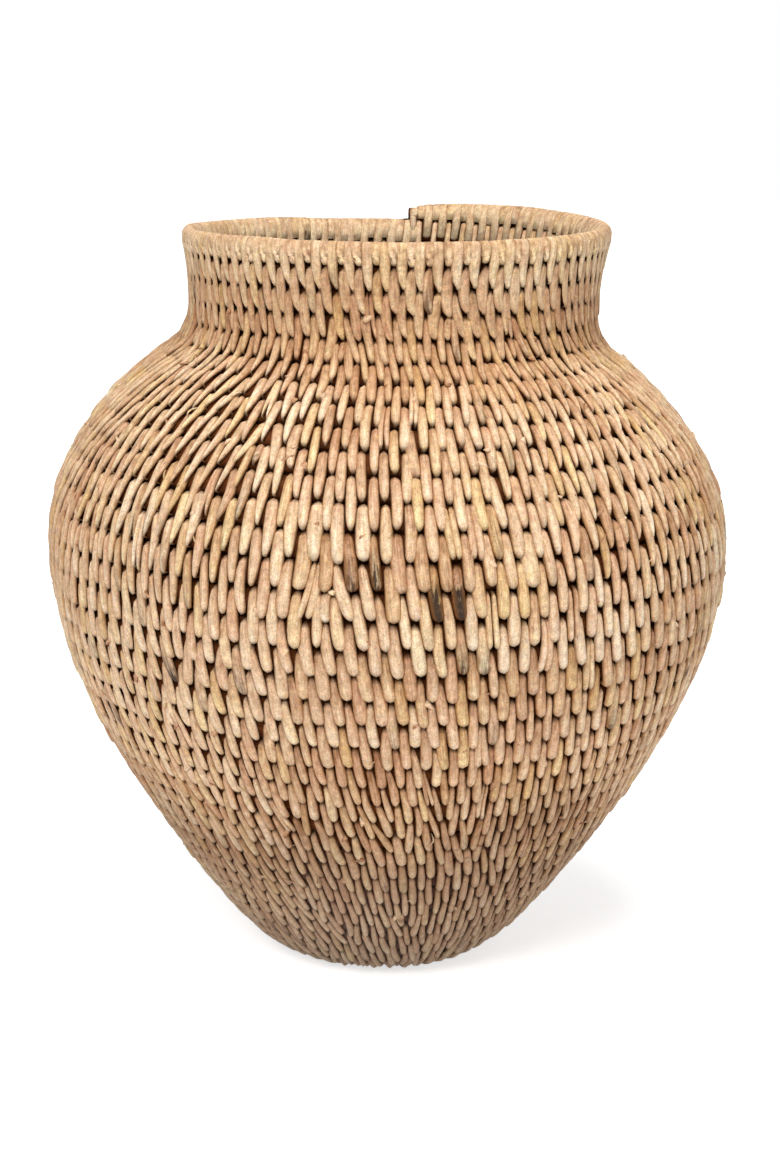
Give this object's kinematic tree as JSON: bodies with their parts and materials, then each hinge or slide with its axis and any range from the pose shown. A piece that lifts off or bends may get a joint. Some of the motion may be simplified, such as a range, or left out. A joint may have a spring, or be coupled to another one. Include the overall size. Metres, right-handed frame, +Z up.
{
  "type": "coiled basket jar",
  "caption": "Free-standing jar-shaped coiled basket in plant fibre, with a small flat base, a full belly and a short flared neck; its wall is one spiral of sewn coil.",
  "frame": {"origin": "middle of the base on the surface that the basket stands on", "axes": "+Z up along the basket's axis, -Y towards the side that the picture shows, +X to the right of that view"},
  "size_m": [0.3631, 0.363, 0.4035],
  "materials": {
    "base_fibre": "matt split plant fibre",
    "lower_wall_fibre": "matt split plant fibre",
    "belly_fibre": "matt split plant fibre",
    "shoulder_fibre": "matt split plant fibre",
    "neck_fibre": "matt split plant fibre",
    "rim_fibre": "matt split plant fibre"
  },
  "bodies": {
    "root": {"base_coil_01": "base_fibre", "belly_coil_01": "belly_fibre", "belly_coil_02": "belly_fibre", "belly_coil_03": "belly_fibre", "belly_coil_04": "belly_fibre", "belly_coil_05": "belly_fibre", "belly_coil_06": "belly_fibre", "belly_coil_07": "belly_fibre", "belly_coil_08": "belly_fibre", "belly_coil_09": "belly_fibre", "belly_coil_10": "belly_fibre", "belly_coil_11": "belly_fibre", "belly_coil_12": "belly_fibre", "lower_wall_coil_01": "lower_wall_fibre", "lower_wall_coil_02": "lower_wall_fibre", "lower_wall_coil_03": "lower_wall_fibre", "neck_coil_01": "neck_fibre", "neck_coil_02": "neck_fibre", "rim_coil_01": "rim_fibre", "rim_coil_02": "rim_fibre", "rim_coil_03": "rim_fibre", "shoulder_coil_01": "shoulder_fibre", "shoulder_coil_02": "shoulder_fibre", "shoulder_coil_03": "shoulder_fibre", "shoulder_coil_04": "shoulder_fibre", "shoulder_coil_05": "shoulder_fibre", "shoulder_coil_06": "shoulder_fibre", "shoulder_coil_07": "shoulder_fibre", "start_knot": "base_fibre"}
  },
  "joints": []
}
